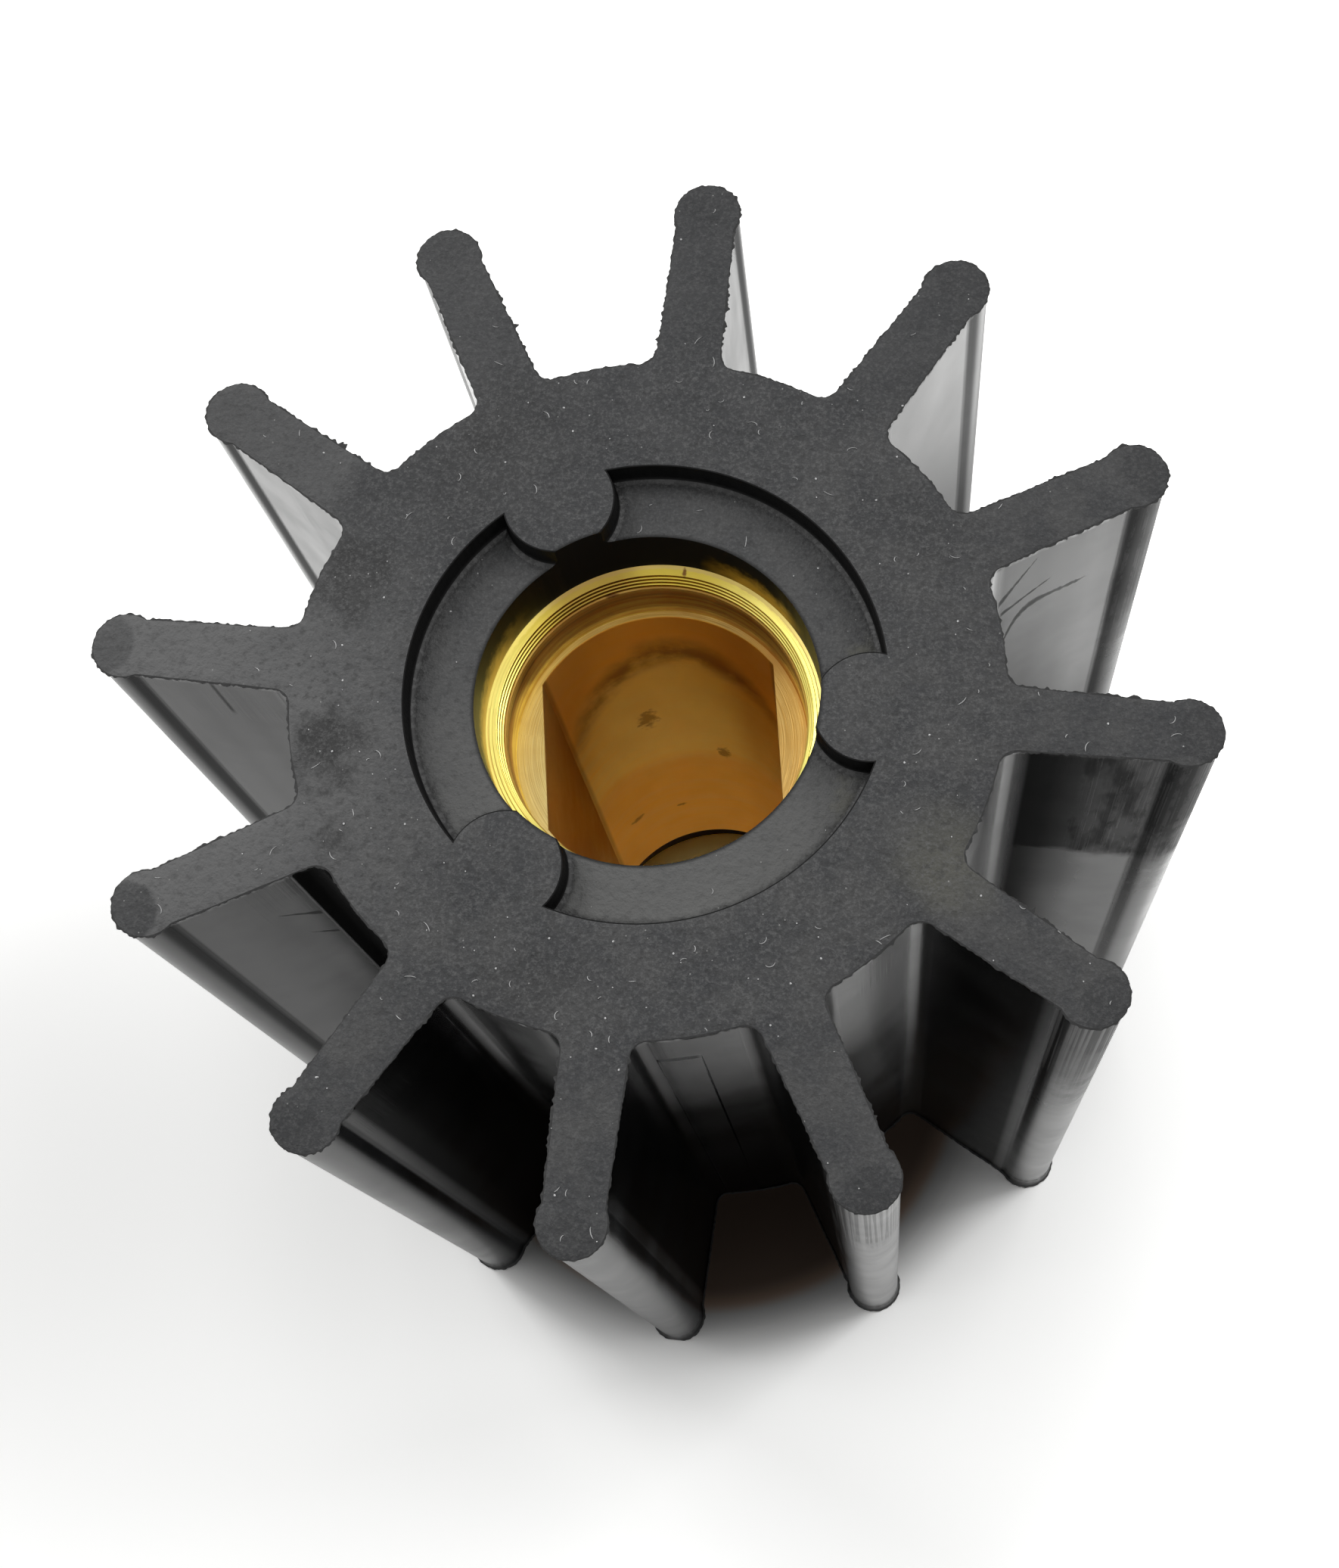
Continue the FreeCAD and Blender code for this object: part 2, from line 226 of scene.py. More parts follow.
class Patches:
    """Collects patches of faces that meet edge to edge, and joins them into one mesh."""

    def __init__(self):
        self.points = []
        self.faces = []
        self.paints = []

    def add(self, points, faces, paint):
        first = sum(len(p) for p in self.points)
        self.points.append(np.asarray(points, float))
        self.faces += [[first + i for i in face] for face in faces]
        self.paints += [paint] * len(faces)

    def strip(self, rows, paint, closed=True):
        """Quads between neighbouring rows of points, all of one length."""
        count = len(rows[0])
        last = count if closed else count - 1
        faces = []
        for r in range(len(rows) - 1):
            for i in range(last):
                j = (i + 1) % count
                faces.append([r * count + i, r * count + j, (r + 1) * count + j, (r + 1) * count + i])
        self.add(np.concatenate(rows), faces, paint)

    def sheet(self, outlines, height, paint, spacing):
        """A flat face between an outer outline and any holes, with inner points for compact triangles."""
        loops = [np.asarray(line) for line in outlines]
        edge = np.concatenate(loops)
        low, high = edge.min(0), edge.max(0)
        columns = np.arange(low[0], high[0], spacing)
        grid = np.array([[x, y + spacing / 2 * (k % 2)] for k, x in enumerate(columns)
                         for y in np.arange(low[1], high[1], spacing)])
        grid = grid[inside(grid, loops)]
        clear = np.array([np.abs(edge - p).max(1).min() > 0.4 * spacing for p in grid], bool)
        grid = grid[clear] if len(grid) else grid.reshape(0, 2)
        edges, first = [], 0
        for line in loops:
            edges += [(first + i, first + (i + 1) % len(line)) for i in range(len(line))]
            first += len(line)
        flat = np.concatenate([edge, grid])
        found, _, faces, *_ = delaunay_2d_cdt([Vector(p) for p in flat], edges, [], 0, 1e-7)
        found = np.array([tuple(p) for p in found])
        centres = np.array([found[list(f)].mean(0) for f in faces])
        kept = [list(f) for f, keep in zip(faces, inside(centres, loops)) if keep]
        self.add(np.c_[found, np.full(len(found), height)], kept, paint)

    def build(self, name, materials, sharp):
        """One piece, smooth but for edges that bend by more than `sharp` degrees."""
        mesh = bpy.data.meshes.new(name)
        mesh.from_pydata((np.concatenate(self.points) * MM).tolist(), [], self.faces)
        mesh.polygons.foreach_set("material_index", self.paints)
        mesh.polygons.foreach_set("use_smooth", [True] * len(self.faces))
        work = bmesh.new()
        work.from_mesh(mesh)
        bmesh.ops.remove_doubles(work, verts=work.verts, dist=2e-7)
        bmesh.ops.dissolve_degenerate(work, edges=work.edges, dist=1e-8)
        bmesh.ops.recalc_face_normals(work, faces=work.faces)
        work.to_mesh(mesh)
        work.free()
        for material in materials:
            mesh.materials.append(material)
        mesh.set_sharp_from_angle(angle=math.radians(sharp))
        return placed(name, mesh)


def inside(points, loops):
    """True for each point that an odd number of the loops go round."""
    odd = np.zeros(len(points), bool)
    for line in loops:
        for (x0, y0), (x1, y1) in zip(line, np.roll(line, -1, 0)):
            if y0 != y1:
                crosses = (y0 > points[:, 1]) != (y1 > points[:, 1])
                odd ^= crosses & (points[:, 0] < (x1 - x0) * (points[:, 1] - y0) / (y1 - y0) + x0)
    return odd


def at_height(points, height):
    """Points of the plane at one height, or at one each."""
    return np.c_[points, np.broadcast_to(height, len(points))]


def meeting_turn(radius, lobe_radius):
    """Angle from a lobe's middle to where its round end crosses a circle round the axis."""
    cosine = (radius ** 2 + LOBE_CENTRE ** 2 - lobe_radius ** 2) / (2 * radius * LOBE_CENTRE)
    return math.degrees(math.acos(cosine))


def lobe_side(radius_in, radius_out, lobe_radius, count):
    """Points along the upper side of the lobe on +X, from an inner circle to an outer one."""
    ends = []
    for radius in (radius_in, radius_out):
        x, y = polar(radius, meeting_turn(radius, lobe_radius))
        ends.append(math.degrees(math.atan2(y, x - LOBE_CENTRE)))
    return polar(lobe_radius, np.linspace(ends[0], ends[1], count)) + [LOBE_CENTRE, 0]


def recess_path(lobe, inset):
    """Wall line of the recess after a lobe, moved into it by `inset`, from the bore round to the bore again."""
    radius, lobe_radius = RECESS_RADIUS - inset, LOBE_RADIUS + inset
    side = lobe_side(SLEEVE_RADIUS, radius, lobe_radius, SIDE_POINTS)
    turn = meeting_turn(radius, lobe_radius)
    arc = polar(radius, np.linspace(turn, 360 / LOBES - turn, ROUND_POINTS))[1:-1]
    end = turned(side * [1, -1], 360 / LOBES)[::-1]
    return turned(np.concatenate([side, arc, end]), lobe * 360 / LOBES)


def vane_walls(patches, ring, names, vane):
    """Flanks, beads and hub wall, with the flash at both ends. Gives the two end outlines."""
    normal = outward(ring)
    inset, ragged = (softened(np.array([sizes[n] for n in names]), 3) for sizes in (INSET, RAGGED))
    patchy = np.clip(0.35 + 0.9 * ripple(ring, 6.0, PATCHY_SEED), 0.05, 1.3)

    def flash(seed):
        teeth = (0.1 * ripple(ring, 0.4, seed) + 0.05 * ripple(ring, 0.9, seed + 1)
                 + 0.05 * ripple(ring, 4.0, seed + 2))
        shreds = 0.5 * ripple(ring, 0.35, seed + 3) + 0.4 * ripple(ring, 0.8, seed + 4)
        hairs = np.clip(ripple(ring, 0.42, seed + 5) - 0.5, 0, None)
        return teeth + ragged * patchy * (shreds + 2.0 * hairs)

    def line(offset):
        moved = ring + normal * np.broadcast_to(offset, len(ring))[:, None]
        return np.clip(moved, -TIP_RADIUS + 0.02, TIP_RADIUS - 0.02)

    turns = np.degrees(np.arctan2(ring[:, 1], ring[:, 0])) % 360
    gap_middle = PAD_VANE * PITCH + PITCH / 2
    on_hub = np.array([n == "hub" for n in names])
    pad = on_hub & (vane == PAD_VANE) & (turns > PAD_VANE * PITCH) & (turns < gap_middle - 0.2)
    wander = 0.03 * ripple(ring, 3.0, WANDER_SEED)
    top_flash = np.maximum(flash(TOP_SEED), wander - 0.06)
    foot_flash = 0.16 + 0.5 * flash(FOOT_SEED)
    top, foot = line(wander - EDGE), line(foot_flash)
    rows = [at_height(top, FACE_Z), at_height(line(top_flash), FACE_Z - 0.04),
            at_height(line(top_flash - 0.03), FACE_Z - FLASH_HEIGHT)]
    for z in WALL_LEVELS:
        raised = pad * PAD_HEIGHT * (z < PAD_TOP)
        rows.append(at_height(line(wander - inset + raised), z))
    rows.append(at_height(line(0.5 * foot_flash - 0.5 * inset), 0.55))
    rows += [at_height(foot, 0.3), at_height(foot, 0.0)]
    patches.strip(rows[:3], FLASH)
    patches.strip(rows[2:-2], FLANK)
    patches.strip(rows[-3:], FLASH)
    return top, foot


def build_rubber(materials):
    patches = Patches()
    ring, names, vane = vane_ring()
    top, foot = vane_walls(patches, ring, names, vane)

    # Recess walls run down to a small fillet, and the floors lie between them and the bore.
    bend = np.radians(np.linspace(0, 90, FILLET_POINTS))
    profile = [(-EDGE, FACE_Z), (-0.03, FACE_Z - 0.03), (0.0, FACE_Z - EDGE)]
    profile += [(RECESS_FILLET * (1 - math.cos(b)), RECESS_FLOOR + RECESS_FILLET * (1 - math.sin(b)))
                for b in bend]
    lobe_turn = meeting_turn(SLEEVE_RADIUS, LOBE_RADIUS - EDGE)
    floor_turn = meeting_turn(SLEEVE_RADIUS, LOBE_RADIUS + RECESS_FILLET)
    lobe_arc = polar(SLEEVE_RADIUS, np.linspace(-lobe_turn, lobe_turn, LOBE_POINTS))
    opening, columns = [], []
    for k in range(LOBES):
        turn = k * 360 / LOBES
        rows = [at_height(recess_path(k, inset), z) for inset, z in profile]
        patches.strip(rows[:6], RECESS, closed=False)
        patches.strip(rows[5:], FILLET, closed=False)
        floor_turns = np.linspace(floor_turn, 360 / LOBES - floor_turn, FLOOR_POINTS)
        floor_arc = polar(SLEEVE_RADIUS, turn + floor_turns)
        patches.sheet([np.concatenate([rows[-1][:, :2], floor_arc[::-1][1:-1]])], RECESS_FLOOR, FACE,
                      FLOOR_SPACING)
        opening += [turned(lobe_arc, turn)[:-1], rows[0][:, :2][:-1]]
        columns += [at_height(turned(lobe_arc, turn)[:-1], FACE_Z), [row[0] for row in rows],
                    at_height(floor_arc, RECESS_FLOOR)[1:], [row[-1] for row in rows[::-1]][1:-1]]
    patches.sheet([top, np.concatenate(opening)], FACE_Z, FACE, FACE_SPACING)

    # The bore wall hangs from the lobes, the fillets and the floors down to an even ring.
    rim = np.concatenate(columns)
    flat_turns = np.degrees(np.arctan2(rim[:, 1], rim[:, 0]))
    below = np.c_[rim[:, :2], np.full(len(rim), BORE_LEVELS[0])]
    patches.strip([rim, below], BORE)
    keep = np.abs((np.roll(flat_turns, -1) - flat_turns + 180) % 360 - 180) > 1e-4
    circle = below[keep][:, :2]
    unit = circle / np.linalg.norm(circle, axis=1, keepdims=True)
    steps = [(SLEEVE_RADIUS, z) for z in BORE_LEVELS]
    steps += [(SLEEVE_RADIUS + 0.02, BRASS_TOP - 0.1), (SLEEVE_RADIUS + 0.02, BRASS_BOTTOM + 0.1)]
    steps += [(SLEEVE_RADIUS, z) for z in (BRASS_BOTTOM - 0.1, 4.0, 0.4)] + [(SLEEVE_RADIUS + 0.2, 0.0)]
    patches.strip([at_height(unit * radius, z) for radius, z in steps], BORE)
    patches.sheet([foot, unit * steps[-1][0]], 0.0, FACE, FOOT_SPACING)
    return patches.build("rubber_moulding", materials, 30)


def build_brass(materials):
    """The insert, as rings of points whose radius follows the double-flat bore where they reach into it."""
    corner = math.degrees(math.acos(HALF_FLATS / ROUND_BORE))
    stops = [FLATS_TURN - corner, FLATS_TURN + corner, FLATS_TURN + 180 - corner, FLATS_TURN + 180 + corner]
    stops.append(stops[0] + 360)
    turns = np.concatenate([np.linspace(start, stop, max(3, round((stop - start) / BORE_STEP)) + 1)[:-1]
                            for start, stop in zip(stops, stops[1:])])
    from_flat = np.abs(np.cos(np.radians(turns - FLATS_TURN)))
    bore = np.minimum(ROUND_BORE, HALF_FLATS / np.maximum(from_flat, 1e-6))
    patches = Patches()

    def ring(radius, z):
        return at_height(polar(np.broadcast_to(radius, len(turns)), turns), z)

    # The end face keeps the grooves of the tool, and the mouth bevel is turned in small steps.
    end = []
    land = np.linspace(SLEEVE_RADIUS, BEVEL_RADIUS + 0.04, GROOVES + 1)
    for start, stop in zip(land, land[1:]):
        end += [(start, 0.0), (stop + 0.02, -GROOVE_DEPTH)]
    end.append((BEVEL_RADIUS + 0.04, -0.02))
    bevel_width = COUNTERBORE + 0.02 - BEVEL_RADIUS
    bevel_drop = BEVEL_Z - BRASS_TOP
    stair = np.linspace(0, 1, BEVEL_STEPS + 1)
    for start, stop in zip(stair, stair[1:]):
        step = stop - start
        for share, drop in ((start, start), (start + 0.25 * step, stop - 0.15 * step)):
            end.append((BEVEL_RADIUS + bevel_width * share, bevel_drop * drop - 0.04))
    end = [(radius, BRASS_TOP + drop) for radius, drop in end]
    patches.strip([ring(radius, z) for radius, z in end], END_FACE)

    # A fine step runs round the counterbore, and the shoulder and the bore lie below it.
    wall = [end[-1], (COUNTERBORE, BEVEL_Z - 0.1), (COUNTERBORE, WALL_STEP_Z),
            (COUNTERBORE - 0.05, WALL_STEP_Z - 0.15), (COUNTERBORE - 0.05, SHOULDER_Z + 0.15),
            (COUNTERBORE - 0.12, SHOULDER_Z)]
    patches.strip([ring(radius, z) for radius, z in wall], WALL)
    edge = wall[-1][0]
    shoulder = [ring(edge + (bore + 0.06 - edge) * share, SHOULDER_Z) for share in np.linspace(0, 1, 7)]
    patches.strip(shoulder, SHOULDER)
    foot = ring(bore + 0.25, BRASS_BOTTOM)
    patches.strip([shoulder[-1]] + [ring(bore, z) for z in THROAT_LEVELS] + [foot], THROAT)
    patches.strip([foot, ring(SLEEVE_RADIUS - 0.3, BRASS_BOTTOM), ring(SLEEVE_RADIUS, BRASS_BOTTOM + 0.3),
                   ring(SLEEVE_RADIUS, BRASS_TOP - 0.3), ring(*end[0])], WALL)
    return patches.build("turned_insert", materials, 22)


def build_lint(material):
    """Short curled fibres and crumbs lying on the upper end face and in the recesses."""
    picker = random.Random(7)
    ring, _, _ = vane_ring()
    spots = np.array([[picker.uniform(-TIP_RADIUS, TIP_RADIUS) for _ in range(2)] for _ in range(LINT_TRIES)])
    radii = np.linalg.norm(spots, axis=1)
    in_recess = inside(spots, [recess_path(k, 1.0) for k in range(LOBES)]) & (radii > SLEEVE_RADIUS + 0.8)
    on_face = inside(spots, [ring * 0.985]) & (radii > RECESS_RADIUS + 0.9)
    lonely = in_recess | (radii > HUB_RADIUS)
    patches = Patches()
    made = 0
    for spot, sunk, face, sparse in zip(spots, in_recess, on_face, lonely):
        if not (sunk or face) or (sparse and picker.random() < 0.5) or made == LINT_COUNT:
            continue
        made += 1
        floor = RECESS_FLOOR if sunk else FACE_Z
        heading, bend = picker.uniform(0, 360), picker.uniform(-260, 260)
        length = picker.choice(LINT_LENGTHS)
        count = 8 if length > FIBRE_LENGTH else 3
        half_width = FIBRE_HALF_WIDTH if length > FIBRE_LENGTH else 0.5 * length
        step = length / (count - 1)
        points, point = [], spot.copy()
        for k in range(count):
            points.append(point.copy())
            point += step * polar(1.0, heading)
            heading += bend / count * (1.4 if k > count / 2 else 0.6)
        line = np.array(points)
        side = np.gradient(line, axis=0)
        side = np.stack([-side[:, 1], side[:, 0]], -1) / np.linalg.norm(side, axis=1, keepdims=True)
        taper = half_width * np.array([0.5] + [1.0] * (count - 2) + [0.5])[:, None]
        rows = [at_height(line + side * taper, floor + 0.03), at_height(line, floor + 0.07),
                at_height(line - side * taper, floor + 0.03), at_height(line, floor - 0.02)]
        loops = [np.array([row[k] for row in rows]) for k in range(count)]
        patches.strip(loops, 0)
        patches.add(loops[0], [[3, 2, 1, 0]], 0)
        patches.add(loops[-1], [[0, 1, 2, 3]], 0)
    return patches.build("lint", [material], 60)


class Value:
    """What a node gives out. Sums and shapes of it make further nodes in the same tree."""

    def __init__(self, tree, socket):
        self.tree = tree
        self.socket = socket

    def __add__(self, other):
        return self.tree.math("ADD", self, other)

    def __sub__(self, other):
        return self.tree.math("SUBTRACT", self, other)

    def __rsub__(self, other):
        return self.tree.math("SUBTRACT", other, self)

    def __mul__(self, other):
        return self.tree.math("MULTIPLY", self, other)

    def __truediv__(self, other):
        return self.tree.math("DIVIDE", self, other)

    def __abs__(self):
        return self.tree.math("ABSOLUTE", self)

    def ramp(self, low, high, to_low=0.0, to_high=1.0):
        """Moves smoothly from to_low at low to to_high at high, and stays level outside them."""
        if low > high:
            low, high, to_low, to_high = high, low, to_high, to_low
        inputs = {"Value": self, "From Min": low, "From Max": high, "To Min": to_low, "To Max": to_high}
        return self.tree.node("MapRange", inputs, interpolation_type="SMOOTHSTEP")

    def line(self, half):
        """1 where the value is 0, fading to 0 at `half` either side."""
        return abs(self).ramp(half, 0.0)


def most(value, *others):
    """The greatest of some values."""
    for other in others:
        value = value.tree.math("MAXIMUM", value, other)
    return value


class Tree:
    """Makes the nodes of one material or world."""

    def __init__(self, tree):
        self.nodes = tree.nodes
        self.links = tree.links

    def feed(self, socket, value):
        if isinstance(value, Value):
            self.links.new(value.socket, socket)
        else:
            socket.default_value = value

    def node(self, kind, inputs, output=0, **settings):
        """Makes a node with these settings, feeds its inputs and gives one of its outputs."""
        node = self.nodes.new("ShaderNode" + kind)
        for setting, value in settings.items():
            setattr(node, setting, value)
        for socket, value in inputs.items():
            self.feed(node.inputs[socket], value)
        return Value(self, node.outputs[output])

    def math(self, operation, *values):
        return self.node("Math", dict(enumerate(values)), operation=operation)

    def seen(self):
        """1 for what the camera sees, also in gloss or through glass, and 0 for the light on things."""
        kinds = ("Is Camera Ray", "Is Glossy Ray", "Is Transmission Ray")
        return most(*[self.node("LightPath", {}, kind) for kind in kinds])


class Paint(Tree):
    """One material, with the patterns that feed its shader."""

    def __init__(self, name, **constants):
        self.material = bpy.data.materials.new(name)
        self.material.use_nodes = True
        super().__init__(self.material.node_tree)
        self.nodes.clear()
        self.shader = self.nodes.new("ShaderNodeBsdfPrincipled")
        output = self.nodes.new("ShaderNodeOutputMaterial")
        self.links.new(self.shader.outputs["BSDF"], output.inputs["Surface"])
        for socket, value in constants.items():
            self.set(socket.replace("_", " "), value)
        place = self.node("TexCoord", {}, "Object")
        self.place = self.node("VectorMath", {0: place, "Scale": 1 / MM}, operation="SCALE")
        split = self.node("SeparateXYZ", {0: self.place}).socket.node
        self.x, self.y, self.z = [Value(self, socket) for socket in split.outputs]
        self.radius = self.math("SQRT", self.x * self.x + self.y * self.y)

    def set(self, socket, value):
        self.feed(self.shader.inputs[socket], value)

    def join(self, x, y, z):
        return self.node("CombineXYZ", {0: x, 1: y, 2: z})

    def drawn(self, share):
        """The place with its height scaled down, so that a pattern on it is drawn out along the axis."""
        return self.join(self.x, self.y, self.z * share)

    def distance(self, place, point):
        return self.node("VectorMath", {0: place, 1: point}, "Value", operation="DISTANCE")

    def away(self, x, y):
        """Distance from a line along the axis."""
        return self.distance(self.join(self.x, self.y, 0.0), (x, y, 0.0))

    def toward(self, degrees):
        """Distance out from the axis in one direction."""
        inputs = {0: self.place, 1: (*polar(1.0, degrees), 0.0)}
        return self.node("VectorMath", inputs, "Value", operation="DOT_PRODUCT")

    def turn(self):
        """Angle round the axis, from -180 to 180 degrees."""
        return self.math("ARCTAN2", self.y, self.x) * (180 / math.pi)

    def near_turn(self, degrees, reach):
        """1 round one direction from the axis, fading to 0 at `reach` degrees either side."""
        return abs(self.turn() - degrees).ramp(reach, reach - 3.0)

    def noise(self, size, detail=2.0, rough=0.5, place=None):
        """Cloudy noise from 0 to 1 with features about `size` mm wide."""
        inputs = {"Vector": place or self.place, "Scale": 1 / size, "Detail": detail, "Roughness": rough}
        return self.node("TexNoise", inputs, "Fac")

    def uneven(self, amount, size, detail, rough=0.5):
        """Noise that wanders either side of 0 and spans `amount`, to make an edge ragged."""
        return (self.noise(size, detail, rough) - 0.5) * amount

    def dots(self, spacing, size):
        """1 on scattered dots `size` mm wide, 0 between them."""
        cells = self.node("TexVoronoi", {"Vector": self.place, "Scale": 1 / spacing}, "Distance")
        return cells.ramp(size / spacing / 2, size / spacing / 4)

    def mix(self, share, first, second, kind="MIX"):
        inputs = {0: share, 6: first, 7: second}
        return self.node("Mix", inputs, 2, data_type="RGBA", blend_type=kind)

    def layered(self, tone, *layers):
        """The tone with colours laid over it in turn. Each layer is a colour and the shares that thin it."""
        for colour, share, *others in layers:
            for other in others:
                share = share * other
            tone = self.mix(share, tone, colour)
        return tone

    def patch(self, x, y, radius, ragged=0.5):
        """1 near one place seen along the axis, fading raggedly to 0."""
        away = self.away(x, y) + self.uneven(radius * ragged * 2, radius / 2, 4.0)
        return away.ramp(radius, radius * 0.2)

    def spot(self, point, size, squeeze=(1.0, 1.0, 1.0), ragged=0.5, grain=0.5):
        """1 near one point, fading raggedly to 0 at `size` mm. A squeeze below 1 stretches it that way."""
        squeezed = self.node("VectorMath", {0: self.place, 1: squeeze}, operation="MULTIPLY")
        away = self.distance(squeezed, [a * b for a, b in zip(point, squeeze)])
        return (away + self.uneven(size * ragged * 2, size * grain, 4.0)).ramp(size, size * 0.4)

    def flank_share(self, degrees, side):
        """1 on one flank of one vane: side is 1 for its anticlockwise flank and -1 for the other."""
        off_flank = self.toward(degrees + 90.0 * side) - (HALF_NECK + 0.1)
        return abs(off_flank).ramp(1.6, 1.2) * self.toward(degrees).ramp(29.0, 29.5)

    def stroke(self, start, stop, curl, half):
        """A smear on a flank between two (radius, height) points, curling at its start and thinning out."""
        share = (self.radius - start[0]) / (stop[0] - start[0])
        rise = share * (stop[1] - start[1]) + start[1]
        drop = self.math("POWER", most(1.0 - share, 0.0), 8.0) * curl
        away = abs(self.z - rise - drop) + self.uneven(half, 0.8, 3.0)
        width = most((1.15 - share) * half, 0.02)
        return (away / width).ramp(1.0, 0.3) * share.ramp(-0.05, 0.0) * share.ramp(1.0, 0.8)

    def bump(self, *layers):
        """Relief from (height from 0 to 1, depth in mm) pairs."""
        inputs = {}
        for height, depth in layers:
            inputs.update({"Distance": depth * MM, "Height": height})
            inputs["Normal"] = self.node("Bump", inputs, "Normal")
        self.set("Normal", inputs["Normal"])

    def stretch_highlights(self, amount):
        """Turned metal: its marks run round the axis, and the highlights stretch across them."""
        self.set("Tangent", self.node("Tangent", {}, direction_type="RADIAL", axis="Z"))
        self.set("Anisotropic", amount)


def grey(level, tint=(1.0, 1.0, 1.0)):
    return (*[level * share for share in tint], 1.0)


COOL = (0.97, 1.0, 1.06)
OLIVE = (1.08, 1.06, 0.86)
CREAM = (1.0, 1.0, 0.97)


def vane_place(paint):
    """Distances along the nearest vane from the axis, and across it."""
    share = paint.math("ARCTAN2", paint.y, paint.x) / math.radians(PITCH)
    turn = (share - paint.math("ROUND", share)) * math.radians(PITCH)
    return paint.radius * paint.math("COSINE", turn), paint.radius * paint.math("SINE", turn)


def bead_share(paint):
    """1 on the round ends of the vanes, 0 on their flats."""
    away = paint.distance(paint.join(*vane_place(paint), 0.0), (BEAD_CENTRE + 1.9, 0.0, 0.0))
    return (away + paint.uneven(0.8, 1.2, 3.0)).ramp(BEAD_RADIUS, BEAD_RADIUS * 0.8)


def wall_distance(paint):
    """Distance in the plane to the nearest wall line of the recess: its round, or one of the lobes."""
    nearest = abs(paint.radius - RECESS_RADIUS)
    for k in range(LOBES):
        off_lobe = paint.away(*polar(LOBE_CENTRE, k * 360 / LOBES)) - LOBE_RADIUS
        nearest = paint.math("MINIMUM", nearest, abs(off_lobe))
    return nearest


# Marks on the end faces: place in the plane, size, and how far the mark takes the tone.
DARK_FACE_MARKS = ((-26.5, 8.0, 5.5, 0.95), (-25.9, -7.4, 5.0, 0.9), (-24.0, -15.5, 2.5, 0.5),
                   (21.0, 16.0, 7.0, 0.3), (-5.9, -26.0, 6.0, 0.4), (-16.6, 21.7, 3.0, 0.5))
OLIVE_RECESS_MARKS = ((18.4, 4.3, 3.2, 0.8), (18.0, -7.6, 2.6, 0.6))


def paint_face():
    """End faces and recess floors: matt, finely grained and a little dusty."""
    paint = Paint("rubber_end_face", IOR=1.5, Specular_IOR_Level=0.45)
    radius = paint.radius
    cloud = paint.noise(5.0, 5.0, 0.62)
    grain = paint.noise(0.3, 3.0, 0.75)
    coarse = paint.noise(0.75, 3.0, 0.6)
    tone = paint.mix(cloud.ramp(0.35, 0.68), grey(0.037, COOL), grey(0.05))

    # Paler on the left of the face, and thinner on the vanes there: partly dust, partly painted sheen where
    # light grazes from the left. The beads are clean and darker.
    tone = paint.layered(
        tone,
        (grey(0.031, COOL), paint.toward(115.0).ramp(6.0, 24.0, 0.0, 0.75)),
        (grey(0.13), paint.away(-42.0, -10.0).ramp(33.0, 6.0), 0.9),
        (grey(0.025, COOL), bead_share(paint), 0.8),
        (grey(0.12), paint.away(-44.0, 16.0).ramp(46.0, 10.0), radius.ramp(31.0, 34.0), 0.42),
        (grey(0.026), paint.patch(-16.0, 20.5, 11.0, 0.3), 0.4),
        (grey(0.085, OLIVE), paint.patch(26.2, -12.4, 6.0), 0.65),
        *[(grey(0.018), paint.patch(x, y, size, 0.8), share) for x, y, size, share in DARK_FACE_MARKS],
        (grey(0.075), paint.patch(-25.5, 6.6, 3.0), 0.3))

    # The recess floors carry olive marks, a pale painted sheen, and painted shade in the corner along their
    # walls.
    sunk = paint.z.ramp(FACE_Z - 0.5, FACE_Z - 1.5)
    floor_sheen = paint.away(0.0, -21.0).ramp(32.0, 10.0, 0.22, 1.0)
    corner_shade = (wall_distance(paint) + (coarse - 0.5) * 0.9).ramp(1.2, 0.25)
    olive_marks = [(grey(0.1, OLIVE), sunk, paint.patch(x, y, size, 0.9), share)
                   for x, y, size, share in OLIVE_RECESS_MARKS]
    tone = paint.layered(
        tone,
        (grey(0.125, CREAM), sunk, floor_sheen, 0.8),
        *olive_marks,
        (grey(0.006), sunk, corner_shade, 0.9))

    # Grain shows less out on the vanes and under the painted sheen. Specks lie everywhere.
    bare = radius.ramp(36.0, 28.0, 0.6, 1.0) * (1.0 - sunk * floor_sheen * 0.7)
    tone = paint.layered(
        tone,
        (grey(0.12), grain.ramp(0.42, 0.72, 0.0, 0.65), bare),
        (grey(0.02), coarse.ramp(0.5, 0.3, 0.0, 0.55), bare),
        (grey(0.35, CREAM), paint.dots(1.1, 0.16), paint.noise(2.0).ramp(0.46, 0.6), 0.7),
        # A dark line along the edge of the bore is painted shade.
        (grey(0.002), (radius - SLEEVE_RADIUS).line(0.4), 0.97))
    paint.set("Base Color", tone)
    paint.set("Roughness", cloud.ramp(0.3, 0.7, 0.78, 0.66))

    # One lobe shows the rings that a turned mould left.
    from_lobe = paint.away(*polar(LOBE_CENTRE, 240.0))
    turned_rings = from_lobe.ramp(5.6, 4.6) * paint.noise(0.5, 1.0, 0.5, paint.join(from_lobe, 0.0, 0.0))
    paint.bump((cloud, 0.1), (coarse, 0.18), (grain, 0.07), (turned_rings, 0.06))
    return paint.material


# Smears on the flanks: vane angle, side, and strokes of start, stop, curl and half width.
SMEARS = ((30.0, -1, (((32.2, 74.4), (40.8, 74.5), -8.0, 0.9),
                      ((32.0, 74.6), (37.0, 78.2), 0.0, 0.5),
                      ((31.6, 77.0), (35.0, 83.5), 0.0, 0.8))),
          (-150.0, 1, (((33.2, 74.0), (36.5, 77.0), 0.0, 0.6),
                       ((33.2, 68.0), (35.5, 70.5), 0.0, 0.4))))

# Radius that the strip of painted shade along the foot of one flank reaches.
SHADED_FOOT_RADIUS = 33.0


